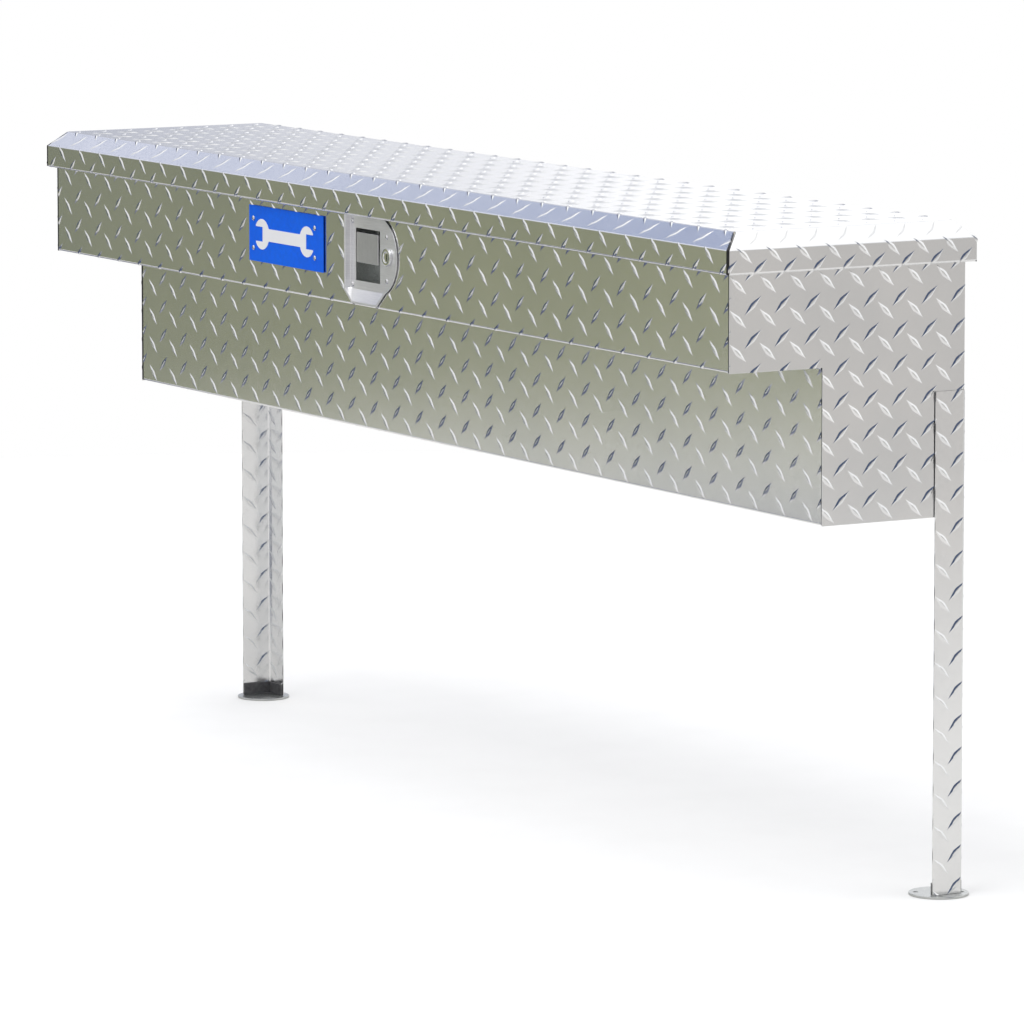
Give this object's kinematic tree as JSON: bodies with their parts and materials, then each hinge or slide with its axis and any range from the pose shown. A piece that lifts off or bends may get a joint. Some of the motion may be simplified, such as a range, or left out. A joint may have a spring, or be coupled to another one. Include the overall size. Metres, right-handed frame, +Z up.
{
  "type": "truck tool box",
  "caption": "L-section aluminium tread-plate tool box that hangs on a truck bed rail, with hinged bevelled lid, recessed paddle latch, gas struts and angle legs on round feet.",
  "frame": {"origin": "middle of the shelf's underside, where the box sits on the truck's bed rail", "axes": "+X along the box to its right end as seen from the front, +Y from the front to the hinge side, +Z up"},
  "size_m": [1.867, 0.3733, 0.8507],
  "materials": {
    "tread_plate": "bright rolled tread plate with raised two-way lugs",
    "mill_aluminium": "plain mill finish",
    "stainless": "brushed stainless",
    "zinc_steel": "bright zinc plate",
    "black_steel": "black coat",
    "seal_rubber": "matte",
    "foam": "rigid foam",
    "plate_blue": "satin print"
  },
  "bodies": {
    "box": {"body_wrap": "tread_plate", "end_panel_left": "tread_plate", "end_panel_right": "tread_plate", "foot_bracket_left": "black_steel", "foot_bracket_right": "black_steel", "foot_plate_left": "zinc_steel", "foot_plate_right": "zinc_steel", "hinge_body_leaf": "stainless", "hinge_pin": "stainless", "latch_case": "stainless", "latch_dish": "stainless", "latch_rivet_1": "stainless", "latch_rivet_2": "stainless", "latch_rivet_3": "stainless", "latch_rivet_4": "stainless", "leg_bolt_left_1": "zinc_steel", "leg_bolt_left_2": "zinc_steel", "leg_bolt_right_1": "zinc_steel", "leg_bolt_right_2": "zinc_steel", "leg_left": "tread_plate", "leg_nut_left_1": "zinc_steel", "leg_nut_left_2": "zinc_steel", "leg_nut_right_1": "zinc_steel", "leg_nut_right_2": "zinc_steel", "leg_right": "tread_plate", "name_plate": "plate_blue", "paddle_pin": "zinc_steel", "pawl_pin": "zinc_steel", "plate_rivet_1": "mill_aluminium", "plate_rivet_2": "mill_aluminium", "plate_rivet_3": "mill_aluminium", "plate_rivet_4": "mill_aluminium", "strut_stud_left": "zinc_steel", "strut_stud_right": "zinc_steel", "weather_seal": "seal_rubber"},
    "lid": {"lid_skin": "tread_plate", "lid_liner": "mill_aluminium", "lid_foam_core": "foam", "lid_striker": "zinc_steel", "hinge_lid_leaf": "stainless", "strut_bracket_left": "zinc_steel", "strut_bracket_right": "zinc_steel"},
    "paddle": {"latch_paddle": "stainless"},
    "pawl": {"latch_pawl": "zinc_steel"},
    "lock": {"lock_barrel": "zinc_steel", "lock_cam": "zinc_steel"},
    "strut_tube_left": {"strut_tube_left": "black_steel"},
    "strut_tube_right": {"strut_tube_right": "black_steel"},
    "strut_rod_left": {"strut_rod_left": "zinc_steel"},
    "strut_rod_right": {"strut_rod_right": "zinc_steel"}
  },
  "joints": [
    {"name": "lid_hinge", "type": "hinge", "parent": "box", "child": "lid", "pos_m": [0, 0.28245, 0.118], "axis": [-1, 0, 0], "range_deg": [0, 75]},
    {"name": "paddle_hinge", "type": "hinge", "parent": "box", "child": "paddle", "pos_m": [0, -0.0544, 0.094], "axis": [-1, 0, 0], "range_deg": [0, 32], "stiffness_Nm_per_rad": 0.4},
    {"name": "pawl_pivot", "type": "hinge", "parent": "box", "child": "pawl", "pos_m": [0, -0.0439, 0.078], "axis": [1, 0, 0], "range_deg": [0, 20]},
    {"name": "lock_turn", "type": "hinge", "parent": "box", "child": "lock", "pos_m": [0.052, -0.0609, 0.071], "axis": [0, -1, 0], "range_deg": [0, 90]},
    {"name": "strut_foot_left", "type": "hinge", "parent": "box", "child": "strut_tube_left", "pos_m": [-0.8815, 0.2171, -0.046], "axis": [-1, 0, 0], "range_deg": [0, 45]},
    {"name": "strut_head_left", "type": "hinge", "parent": "lid", "child": "strut_rod_left", "pos_m": [-0.8815, 0.1121, 0.141], "axis": [-1, 0, 0], "range_deg": [-45, 0]},
    {"name": "strut_foot_right", "type": "hinge", "parent": "box", "child": "strut_tube_right", "pos_m": [0.8815, 0.2171, -0.046], "axis": [-1, 0, 0], "range_deg": [0, 45]},
    {"name": "strut_head_right", "type": "hinge", "parent": "lid", "child": "strut_rod_right", "pos_m": [0.8815, 0.1121, 0.141], "axis": [-1, 0, 0], "range_deg": [-45, 0]}
  ],
  "couplings": [
    {"joint": "pawl_pivot", "follows": "paddle_hinge", "ratio": 0.35},
    {"joint": "strut_foot_left", "follows": "lid_hinge", "ratio": 0.49},
    {"joint": "strut_head_left", "follows": "lid_hinge", "ratio": -0.51},
    {"joint": "strut_foot_right", "follows": "lid_hinge", "ratio": 0.49},
    {"joint": "strut_head_right", "follows": "lid_hinge", "ratio": -0.51}
  ]
}
